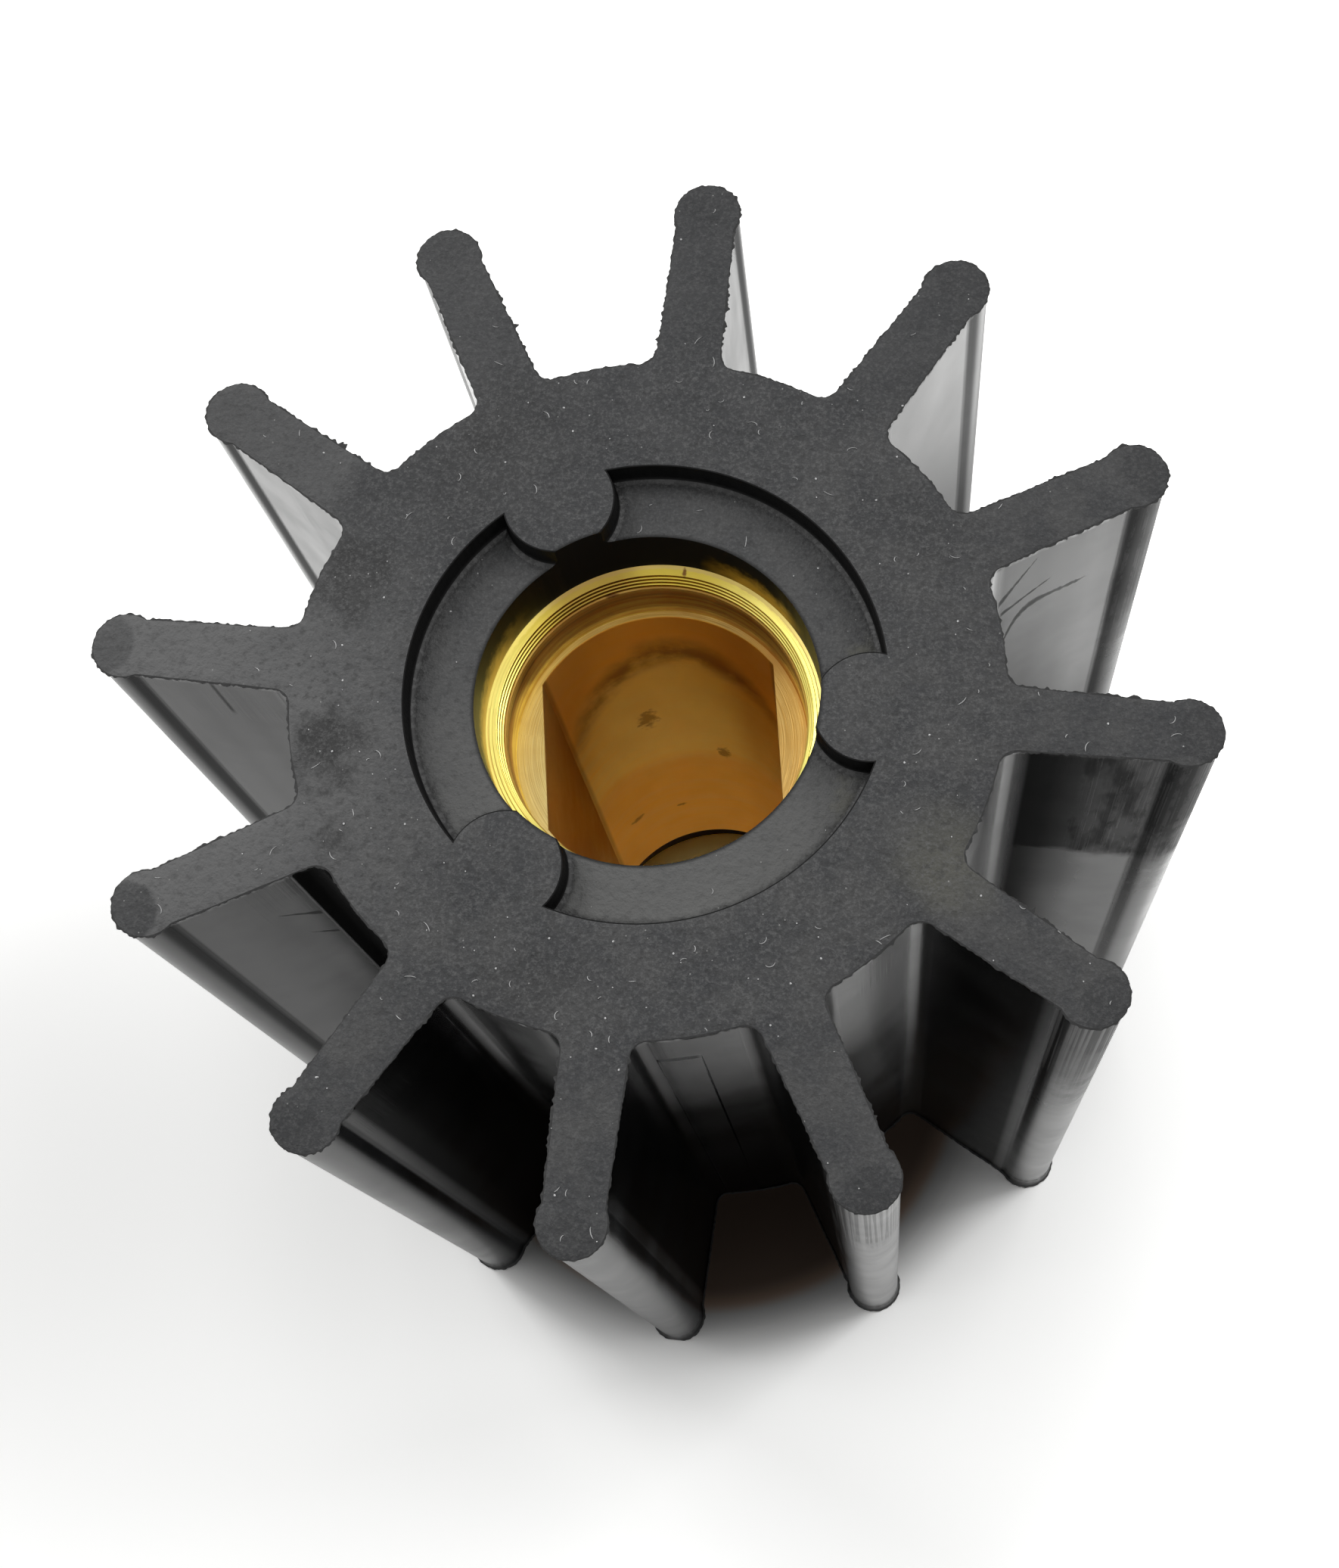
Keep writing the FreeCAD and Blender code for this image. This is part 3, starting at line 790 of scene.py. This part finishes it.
def paint_flank():
    """Moulded walls: darker and smoother than the ends, with marks drawn down them as they left the mould."""
    paint = Paint("rubber_flank", IOR=1.5)
    x, y, z, radius = paint.x, paint.y, paint.z, paint.radius
    streaks = paint.noise(0.45, 3.0, 0.6, paint.drawn(0.004))
    broad = paint.noise(9.0, 3.0, 0.55)
    along, across = vane_place(paint)
    across = abs(across)
    turn = paint.turn()

    # Root fillets: a painted highlight at the front right of the object, painted shade at its left, and a fine
    # painted highlight line where they end. Along the foot of one flank the painted shade runs on as a strip,
    # with a pale painted line at its end.
    in_fillet = along.ramp(FILLET_START + 0.05, FILLET_START - 0.1) * across.ramp(FILLET_END, FILLET_END - 0.2)
    fillet_highlight = in_fillet * x.ramp(2.0, 12.0) * y.ramp(5.0, -5.0)
    foot_flank = paint.flank_share(-150.0, 1)
    foot_shade = foot_flank * radius.ramp(SHADED_FOOT_RADIUS, SHADED_FOOT_RADIUS - 0.2)
    fillet_shade = most(in_fillet * x.ramp(12.0, 2.0) * 0.6, foot_shade)
    hub_end = (across - FILLET_END).line(0.16) * along.ramp(31.0, 30.4)
    fillet_edge_glint = most((along - (FILLET_START + 0.1)).line(0.16), hub_end) * (1.0 - foot_shade)
    foot_edge_glint = foot_flank * (radius - SHADED_FOOT_RADIUS).line(0.16)

    # One flank and three beads are rubbed dull on their upper part, and combed with fine marks.
    uneven = paint.uneven(6.0, 4.0, 4.0)
    patchy = paint.uneven(24.0, 3.0, 4.0, 0.6)
    drawn = paint.drawn(0.3)
    upper = (z + uneven).ramp(57.0, 60.5)
    upper_tip = (z + patchy).ramp(46.0, 70.0)
    outer = (along + uneven * 0.3).ramp(36.0, 39.0)
    on_tip = along.ramp(42.6, 43.4)
    rubbed_flank = paint.flank_share(0.0, -1) * radius.ramp(31.6, 32.4)
    dull = most(rubbed_flank * upper, paint.near_turn(0.0, 40.0) * upper_tip * on_tip,
                rubbed_flank * radius.ramp(40.0, 32.5) * 0.85)
    comb = paint.noise(0.24, 1.0, 0.5, paint.drawn(0.004))
    combed = dull * outer * comb.ramp(0.46, 0.6) * paint.noise(1.0, 4.0, 0.75, drawn).ramp(0.4, 0.56)

    # Two beads are combed at their very top, one of them further down.
    frayed = z + patchy + comb * 24.0 + turn.ramp(-45.0, -52.0, 0.0, 8.0)
    combed_tip = on_tip * frayed.ramp(73.0, 85.0) * turn.ramp(-80.0, -70.0) * turn.ramp(-12.0, -18.0)
    tip_combed = combed_tip * comb.ramp(0.48, 0.6)
    tip_dark = combed_tip * comb.ramp(0.52, 0.44)

    # Pale streaks hang down from the upper edge, and a few smears lie on the flanks.
    near_top = (z + streaks * 6.0).ramp(FACE_Z - 6, FACE_Z - 3) * broad.ramp(0.4, 0.6) * y.ramp(24.0, 12.0)
    smear = paint.flank_share(180.0, 1) * (radius - 36.9).line(0.35) * z.ramp(77.0, 78.5)
    for degrees, side, strokes in SMEARS:
        stroked = most(*[paint.stroke(*stroke) for stroke in strokes])
        smear = most(smear, paint.flank_share(degrees, side) * stroked)

    # The walls of the front gaps lie in each other's shade: they and the hub wall beside one root fillet are
    # darkened with painted shade.
    gap = y.ramp(-15.0, -24.0) * along.ramp(42.6, 41.5) * turn.ramp(-140.0, -130.0)
    gap = gap * most(z.ramp(78.0, 52.0), along.ramp(31.4, 33.0))
    gap = most(gap, turn.ramp(-104.5, -109.0) * turn.ramp(-113.0, -111.8) * radius.ramp(31.0, 30.5))

    tone = paint.mix(broad.ramp(0.3, 0.7), grey(0.009, COOL), grey(0.017, COOL))
    below_rub = rubbed_flank * upper.ramp(1.0, 0.0) * radius.ramp(34.0, 40.0)
    paint.set("Base Color", paint.layered(
        tone,
        (grey(0.045), near_top, streaks.ramp(0.4, 0.7, 0.0, 0.5)),
        (grey(0.006), dull, 0.8),
        (grey(0.08), combed, 0.8),
        (grey(0.11), tip_combed, 0.8),
        (grey(0.003), smear, 0.8),
        (grey(0.003), fillet_shade, 0.9),
        (grey(0.05), fillet_highlight, 0.8),
        (grey(0.1), fillet_edge_glint, broad.ramp(0.3, 0.6, 0.3, 0.9)),
        (grey(0.2), foot_edge_glint, 0.8),
        (grey(0.05), below_rub, 0.8),
        (grey(0.1), paint.dots(2.6, 0.16)),
        (grey(0.002), gap, 0.9)))

    # Rubbed, dirty and blotched places, and those with painted shade, have lost their gloss, and so have the
    # necks and two of the beads.
    neck = along.ramp(42.6, 43.0) * along.ramp(45.2, 44.0)
    dull_bead = on_tip * paint.near_turn(30.0, 12.0)
    stained_bead = on_tip * upper_tip * paint.near_turn(0.0, 12.0)
    blotches = paint.noise(2.6, 3.0, 0.6, drawn).ramp(0.68, 0.36) * radius.ramp(35.0, 37.0)
    quiet = most(fillet_shade * 0.96, dull * radius.ramp(34.0, 40.0, 0.88, 0.6), neck * 0.75, tip_dark * 0.75,
                 dull_bead * 0.75, stained_bead * 0.85, rubbed_flank * upper * (blotches * 0.35 + 0.5),
                 gap * 0.88, smear * 0.6)
    paint.set("Specular IOR Level", quiet.ramp(0.0, 1.0, 0.5, 0.0))
    paint.set("Roughness", broad.ramp(0.3, 0.7, 0.2, 0.27) + dull * 0.2 + smear * 0.2)
    paint.bump((near_top * streaks, 0.015), (most(combed, tip_combed), 0.006))
    return paint.material


def paint_flash():
    """Torn edge of the flash: dull and dark, with paler shreds."""
    paint = Paint("rubber_flash", Roughness=0.6, IOR=1.5)
    paint.set("Base Color", paint.mix(paint.noise(0.5, 3.0).ramp(0.5, 0.75), grey(0.004), grey(0.025)))
    paint.bump((paint.noise(0.25), 0.04))
    return paint.material


def paint_recess():
    """Recess walls, cut clean and dark."""
    paint = Paint("rubber_recess_wall", IOR=1.4, Specular_IOR_Level=0.2)
    streaks = paint.noise(0.35, 3.0, 0.6, paint.drawn(0.2))
    paint.set("Base Color", paint.mix(streaks, grey(0.002), grey(0.006)))
    paint.set("Roughness", streaks.ramp(0.3, 0.7, 0.42, 0.6))
    paint.bump((streaks, 0.015))
    return paint.material


def paint_fillet():
    """Fillet at the foot of the recess walls: dark as painted shade, with paler dashes of painted highlight."""
    paint = Paint("rubber_recess_fillet", Roughness=0.5, IOR=1.5)
    glint_dashes = paint.noise(0.5, 3.0, 0.6).ramp(0.42, 0.62)
    # Dark painted shade, with paler dashes of painted highlight.
    paint.set("Base Color", paint.mix(glint_dashes, grey(0.006), grey(0.05)))
    paint.bump((glint_dashes, 0.02))
    return paint.material


PALE_BRASS_AND_HIGHLIGHT = (0.95, 0.8, 0.36, 1.0)
YELLOW_BRASS = (0.98, 0.9, 0.24, 1.0)
GOLD_BRASS = (0.95, 0.78, 0.2, 1.0)
BROWN_BRASS_AND_SHADE = (0.62, 0.34, 0.08, 1.0)
ORANGE_BRASS = (0.9, 0.52, 0.12, 1.0)
DULL_BRASS = (0.6, 0.44, 0.16, 1.0)
SHADED_BRASS = (0.6, 0.45, 0.06, 1.0)
THROAT_BRASS = (1.0, 0.74, 0.2, 1.0)
LIT_BRASS = (1.0, 0.86, 0.34, 1.0)
BRASS_REFLECTION = (0.95, 0.64, 0.1, 1.0)
DARK_STAIN_AND_SHADE = (0.2, 0.1, 0.03, 1.0)

# Painted reflection of the brass ring on the rubber wall beside it: angle and size.
REFLECTED_BRASS_SPOTS = ((190.0, 12.0), (57.0, 6.0))


def paint_bore():
    """Wall of the rubber round the end of the insert: dull, with a painted reflection of the brass on its two
    sides.
    """
    paint = Paint("rubber_bore", IOR=1.5, Specular_IOR_Level=0.1)
    streaks = paint.noise(1.2, 3.0, 0.6, paint.drawn(0.08))
    tone = paint.mix(streaks, grey(0.002), grey(0.005))
    low = (paint.z + paint.uneven(2.5, 1.0, 4.0, 0.6)).ramp(80.4, 77.6)
    # Gold patches low on the wall are a painted reflection of the brass ring.
    for degrees, size in REFLECTED_BRASS_SPOTS:
        reflected = paint.spot((*polar(SLEEVE_RADIUS, degrees), 78.0), size, (1.0, 1.0, 0.3), 0.3)
        tone = paint.layered(tone, (BRASS_REFLECTION, low, reflected, 0.9))
    paint.set("Base Color", tone)
    paint.set("Roughness", (abs(paint.x) + streaks * 4.0).ramp(9.5, 15.0, 0.75, 0.4))
    paint.bump((streaks, 0.006))
    return paint.material


def rings(paint, size):
    """Tool marks that run round the axis on a flat face."""
    turn = paint.math("ARCTAN2", paint.y, paint.x) * 0.15
    return paint.noise(size, 3.0, 0.7, paint.join(paint.radius, turn, 0.0))


def hoops(paint, size):
    """Tool marks that run round a cylinder."""
    return paint.noise(size, 3.0, 0.7, paint.join(paint.x * 0.02, paint.y * 0.02, paint.z))


def brass_paint(name, first, second, rough, marks, size, depth, tarnish, metallic=1.0):
    """Turned brass with tool marks, and tarnish in clouds. Gives the paint and its tone, still open."""
    paint = Paint(name, Metallic=metallic, IOR=1.45)
    cloud = paint.noise(4.0, 4.0, 0.6)
    lines = marks(paint, size)
    tone = paint.mix(lines.ramp(0.35, 0.65), first, second)
    tone = paint.layered(tone, (BROWN_BRASS_AND_SHADE, cloud.ramp(0.45, 0.75), tarnish))
    paint.set("Roughness", cloud.ramp(0.3, 0.7, rough * 0.85, rough * 1.15) + lines * 0.06)
    if depth:
        paint.bump((lines, depth))
    return paint, tone


def paint_brass_end():
    """End face of the insert: bright, with a dull rim, painted shade at the far left and one nick."""
    paint, tone = brass_paint("brass_end_face", GOLD_BRASS, YELLOW_BRASS, 0.34, rings, 0.14, 0.01, 0.08)
    paint.stretch_highlights(0.8)
    rim = (paint.radius + paint.uneven(0.3, 0.5, 3.0)).ramp(14.25, 14.42)
    paint.set("Base Color", paint.layered(
        tone,
        # Darker at the far left: painted shade.
        (SHADED_BRASS, paint.toward(112.0).ramp(7.0, 12.5), 0.9),
        (paint.mix(paint.x.ramp(-9.0, -13.5), DULL_BRASS, GOLD_BRASS), rim, 0.7),
        (DARK_STAIN_AND_SHADE, abs(paint.turn() - 120.0).ramp(26.0, 8.0), 0.6),
        (BROWN_BRASS_AND_SHADE, rings(paint, 0.2).ramp(0.56, 0.7), 0.5),
        (DARK_STAIN_AND_SHADE, paint.spot((0.95, 14.11, BRASS_TOP), 0.4, (1.6, 0.7, 1.0), 0.4))))
    return paint.material


def paint_counterbore():
    """Counterbore wall: brown, darker at the far side as painted shade, with a dark band half way down and a
    lump of dirt.
    """
    paint, tone = brass_paint("brass_counterbore", GOLD_BRASS, BROWN_BRASS_AND_SHADE, 0.5, hoops, 0.5, 0.01, 0.5)
    dirt = paint.spot((*polar(COUNTERBORE, 114.2), 75.4), 0.55, (0.6, 1.0, 1.6), 0.5)
    paint.set("Base Color", paint.layered(
        tone,
        (DARK_STAIN_AND_SHADE, (paint.z - 74.2).line(0.35), 0.6),
        # Darker at the far side: painted shade.
        (DARK_STAIN_AND_SHADE, paint.y.ramp(4.0, 12.0, 0.0, 0.45)),
        (DARK_STAIN_AND_SHADE, dirt)))
    return paint.material


def paint_shoulder():
    """Shoulder above the flats: paler at the left as a painted highlight, and browner at the right as painted
    shade.
    """
    paint, tone = brass_paint("brass_shoulder", DULL_BRASS, PALE_BRASS_AND_HIGHLIGHT, 0.42, rings, 0.12, 0.03, 0.2)
    paint.stretch_highlights(0.6)
    paint.set("Base Color", paint.layered(
        tone,
        # Paler at the left: painted highlight. Browner at the right: painted shade.
        (PALE_BRASS_AND_HIGHLIGHT, paint.x.ramp(-4.0, -9.0, 0.0, 0.45)),
        (BROWN_BRASS_AND_SHADE, paint.x.ramp(4.0, 9.0, 0.0, 0.65))))
    return paint.material


# Small marks in the bore: angle, height, size, and how much the mark is squeezed along the bore.
THROAT_MARKS = ((115.9, 47.3, 1.3, 0.5), (83.2, 36.1, 0.9, 0.5),
                (111.9, 19.7, 0.7, 1.6), (136.2, 22.1, 1.2, 1.8))


def paint_throat():
    """Double-flat bore: a dark arc of painted reflection hangs across its far side, with orange above it and low
    down, and a painted pool of light below it.
    """
    paint, tone = brass_paint("brass_throat", THROAT_BRASS, PALE_BRASS_AND_HIGHLIGHT, 0.3, hoops, 2.5, 0.0, 0.1, 0.6)
    uneven = paint.uneven(3.0, 5.0, 3.0)
    fall = 1.0 - paint.toward(97.0) / paint.radius
    below_arc = 62.5 - fall * 22.0 - paint.z + uneven
    broken = paint.noise(3.5, 4.0, 0.6).ramp(0.3, 0.6, 0.3, 1.0) * fall.ramp(0.5, 0.15, 0.35, 1.0)
    lit = paint.spot((*polar(ROUND_BORE, 101.0), 46.0), 15.0, (1.0, 1.0, 0.7), 0.3)
    off_flats = abs(paint.toward(FLATS_TURN)) - HALF_FLATS
    marks = [paint.spot((*polar(ROUND_BORE, degrees), height), size, (1.0, 1.0, squeeze), 0.8, 0.6)
             for degrees, height, size, squeeze in THROAT_MARKS]
    # The dark arc is a painted reflection, and the pale spot below it is a painted pool of light.
    paint.set("Base Color", paint.layered(
        tone,
        (ORANGE_BRASS, below_arc.ramp(1.5, -1.5, 0.0, 0.85)),
        (LIT_BRASS, lit, 0.8),
        (BROWN_BRASS_AND_SHADE, paint.turn().ramp(80.0, 62.0, 0.0, 0.5)),
        (DARK_STAIN_AND_SHADE, below_arc.line(4.6), broken, 0.9),
        (ORANGE_BRASS, (paint.z + uneven).ramp(37.5, 33.0, 0.0, 0.65)),
        (BROWN_BRASS_AND_SHADE, off_flats.ramp(-0.12, -0.02), 0.75),
        (DARK_STAIN_AND_SHADE, (off_flats + 0.15).line(0.3), 0.6),
        *[(DARK_STAIN_AND_SHADE, mark, 0.75) for mark in marks]))
    paint.set("Specular Tint", GOLD_BRASS)
    return paint.material


def paint_lint():
    paint = Paint("lint", Roughness=0.9)
    paint.set("Base Color", paint.mix(paint.noise(0.8), grey(0.4), grey(0.75)))
    return paint.material


def pale(level):
    """Colour of the board at one level, a trace warmer than grey."""
    return (level, level, 0.99 * level, 1.0)


def paint_floor():
    """A pale board, faintly uneven in tone, with the deep contact shade under the front of the object.

    It has one tone for the light it gives to things, one for the camera, and one for what gloss mirrors.
    Under the bore all three are painted light: the board glows there and brightens the bore. Elsewhere the
    camera's and the gloss's tones are painted lighter and darker in broad places: painted light and shade.
    """
    paint = Paint("pale_floor", Roughness=0.8, Specular_IOR_Level=0.1)
    x, y, radius = paint.x, paint.y, paint.radius
    cloud = paint.noise(120.0)
    under_bore = radius.ramp(20.0, 16.0)
    from_shade = paint.away(*SHADE_CENTRE)
    # Painted light: under the bore the board gives back more light than falls on it, and glows into the bore.
    lit = paint.layered(paint.mix(cloud, pale(0.86), pale(0.9)), (pale(3.8), under_bore))
    # The camera's tone is painted lighter and darker in broad places: painted light and shade on the board.
    front = paint.layered(
        paint.mix(cloud, pale(1.25), pale(1.31)),
        (pale(1.86), x.ramp(-62.0, 4.0)),
        (pale(1.5), from_shade.ramp(38.0, 70.0)),
        (pale(1.95), x.ramp(18.0, 72.0)),
        (pale(1.44), y.ramp(-50.0, -70.0), x.ramp(36.0, -12.0)),
        (pale(1.22), paint.away(-92.0, -36.0).ramp(62.0, 10.0)),
        (UNDER_BORE_GLOW, under_bore))
    # The tone that gloss mirrors is painted lighter and darker in broad places, and brighter under the bore:
    # painted reflections.
    behind = paint.mix(y.ramp(0.0, 30.0), pale(1.08), pale(1.9))
    beside = paint.mix(x.ramp(46.0, 62.0), pale(0.8), pale(2.8))
    beside = paint.mix(y.ramp(-10.0, 0.0), pale(1.8), beside)
    mirrored = paint.layered(paint.mix(x.ramp(-10.0, 40.0), behind, beside), (pale(5.8), under_bore))
    to_camera = paint.node("LightPath", {}, "Is Camera Ray")
    board = paint.mix(paint.seen(), lit, paint.mix(to_camera, mirrored, front))

    # The shade is brownish where it is deep.
    shade = paint.math("MINIMUM", from_shade.ramp(*SHADE_REACH, 0.08, 1.0), radius.ramp(32.0, 42.0, 0.1, 1.0))
    shade = most(shade, under_bore)
    deep = shade.ramp(0.35, 0.12)
    brownish = paint.join(shade, *[shade * deep.ramp(0.0, 1.0, 1.0, tint) for tint in SHADE_TINT])
    paint.set("Base Color", paint.mix(1.0, board, brownish, "MULTIPLY"))
    return paint.material


def pale_room():
    """An even pale room to look at, whose light comes mostly from above and behind the object."""
    world = bpy.data.worlds.new("pale_room")
    world.use_nodes = True
    tree = Tree(world.node_tree)
    inputs = {0: tree.node("TexCoord", {}, "Generated"), 1: Vector(LIGHT_FROM).normalized()}
    toward = tree.node("VectorMath", inputs, "Value", operation="DOT_PRODUCT")
    glow = toward.ramp(*ROOM_EDGE, ROOM_DIM, ROOM_BRIGHT)
    background = tree.nodes["Background"]
    level = tree.node("Mix", {0: tree.seen(), 2: glow, 3: ROOM_SEEN})
    tree.feed(background.inputs["Strength"], level)
    background.inputs["Color"].default_value = (1.0, 1.0, 1.0, 1.0)
    return world


# Places of the paints on each piece.
FACE, FLANK, FLASH, RECESS, FILLET, BORE = range(6)
END_FACE, WALL, SHOULDER, THROAT = range(4)

moulding = build_rubber([paint_face(), paint_flank(), paint_flash(), paint_recess(), paint_fillet(),
                         paint_bore()])
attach(moulding, "root")
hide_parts("rubber_impeller")

insert = build_brass([paint_brass_end(), paint_counterbore(), paint_shoulder(), paint_throat()])
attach(insert, "root")
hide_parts("brass_insert")

lint = build_lint(paint_lint())
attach(lint, "root")

# Floor: its shade fades out between two distances from a centre, and turns brownish where it is deep.
FLOOR_HALF = 1500.0
SHADE_CENTRE = (0.0, -14.0)
SHADE_REACH = (27.0, 38.0)
SHADE_TINT = (0.72, 0.56)
# Painted glow of the board under the bore, as the camera sees it.
UNDER_BORE_GLOW = (2.0, 2.0, 0.95, 1.0)
floor_mesh = bpy.data.meshes.new("floor")
corners = [(x * FLOOR_HALF * MM, y * FLOOR_HALF * MM, 0.0) for x, y in ((-1, -1), (1, -1), (1, 1), (-1, 1))]
floor_mesh.from_pydata(corners, [], [(0, 1, 2, 3)])
floor_mesh.materials.append(paint_floor())
floor = placed("floor", floor_mesh)

# Light: a pale room, brighter above and behind. The edge runs between two cosines to the light's direction.
LIGHT_FROM = (-0.2, 0.95, 0.2)
ROOM_EDGE = (-0.4, 0.3)
ROOM_DIM = 0.03
ROOM_BRIGHT = 0.96
ROOM_SEEN = 0.95
bpy.context.scene.world = pale_room()

# Two soft lamps, behind the object to the left and right: direction, distance in metres and watts.
LAMPS = (((-0.6, 0.42, 0.69), 1.1, 2.9), ((0.62, 0.38, 0.69), 1.1, 2.3))
LAMP_SIZE = 0.36
for number, (toward, distance, watts) in enumerate(LAMPS):
    light = bpy.data.lights.new(f"soft_lamp_{number}", "AREA")
    light.size = LAMP_SIZE
    light.energy = watts
    lamp = placed(light.name, light)
    lamp.location = Vector(toward).normalized() * distance
    lamp.rotation_euler = Vector(toward).to_track_quat("Z", "Y").to_euler()
    lamp.visible_camera = False

# Camera, fitted to the edges of the object in the photo.
CAMERA_PLACE = (26.53, -62.03, 243.56)
CAMERA_TURN = (14.187, 4.229, 6.653)
CAMERA_LENS = 47.343
CAMERA_SHIFT = (-0.0404, 0.12)
camera_data = bpy.data.cameras.new("camera")
camera_data.lens = CAMERA_LENS
camera_data.sensor_width = 36.0
camera_data.shift_x, camera_data.shift_y = CAMERA_SHIFT
camera_data.clip_start = 0.01
camera = placed("camera", camera_data)
camera.location = Vector(CAMERA_PLACE) * MM
camera.rotation_euler = Euler([math.radians(a) for a in CAMERA_TURN], "XYZ")
bpy.context.scene.camera = camera
bpy.context.scene.view_settings.view_transform = "Standard"
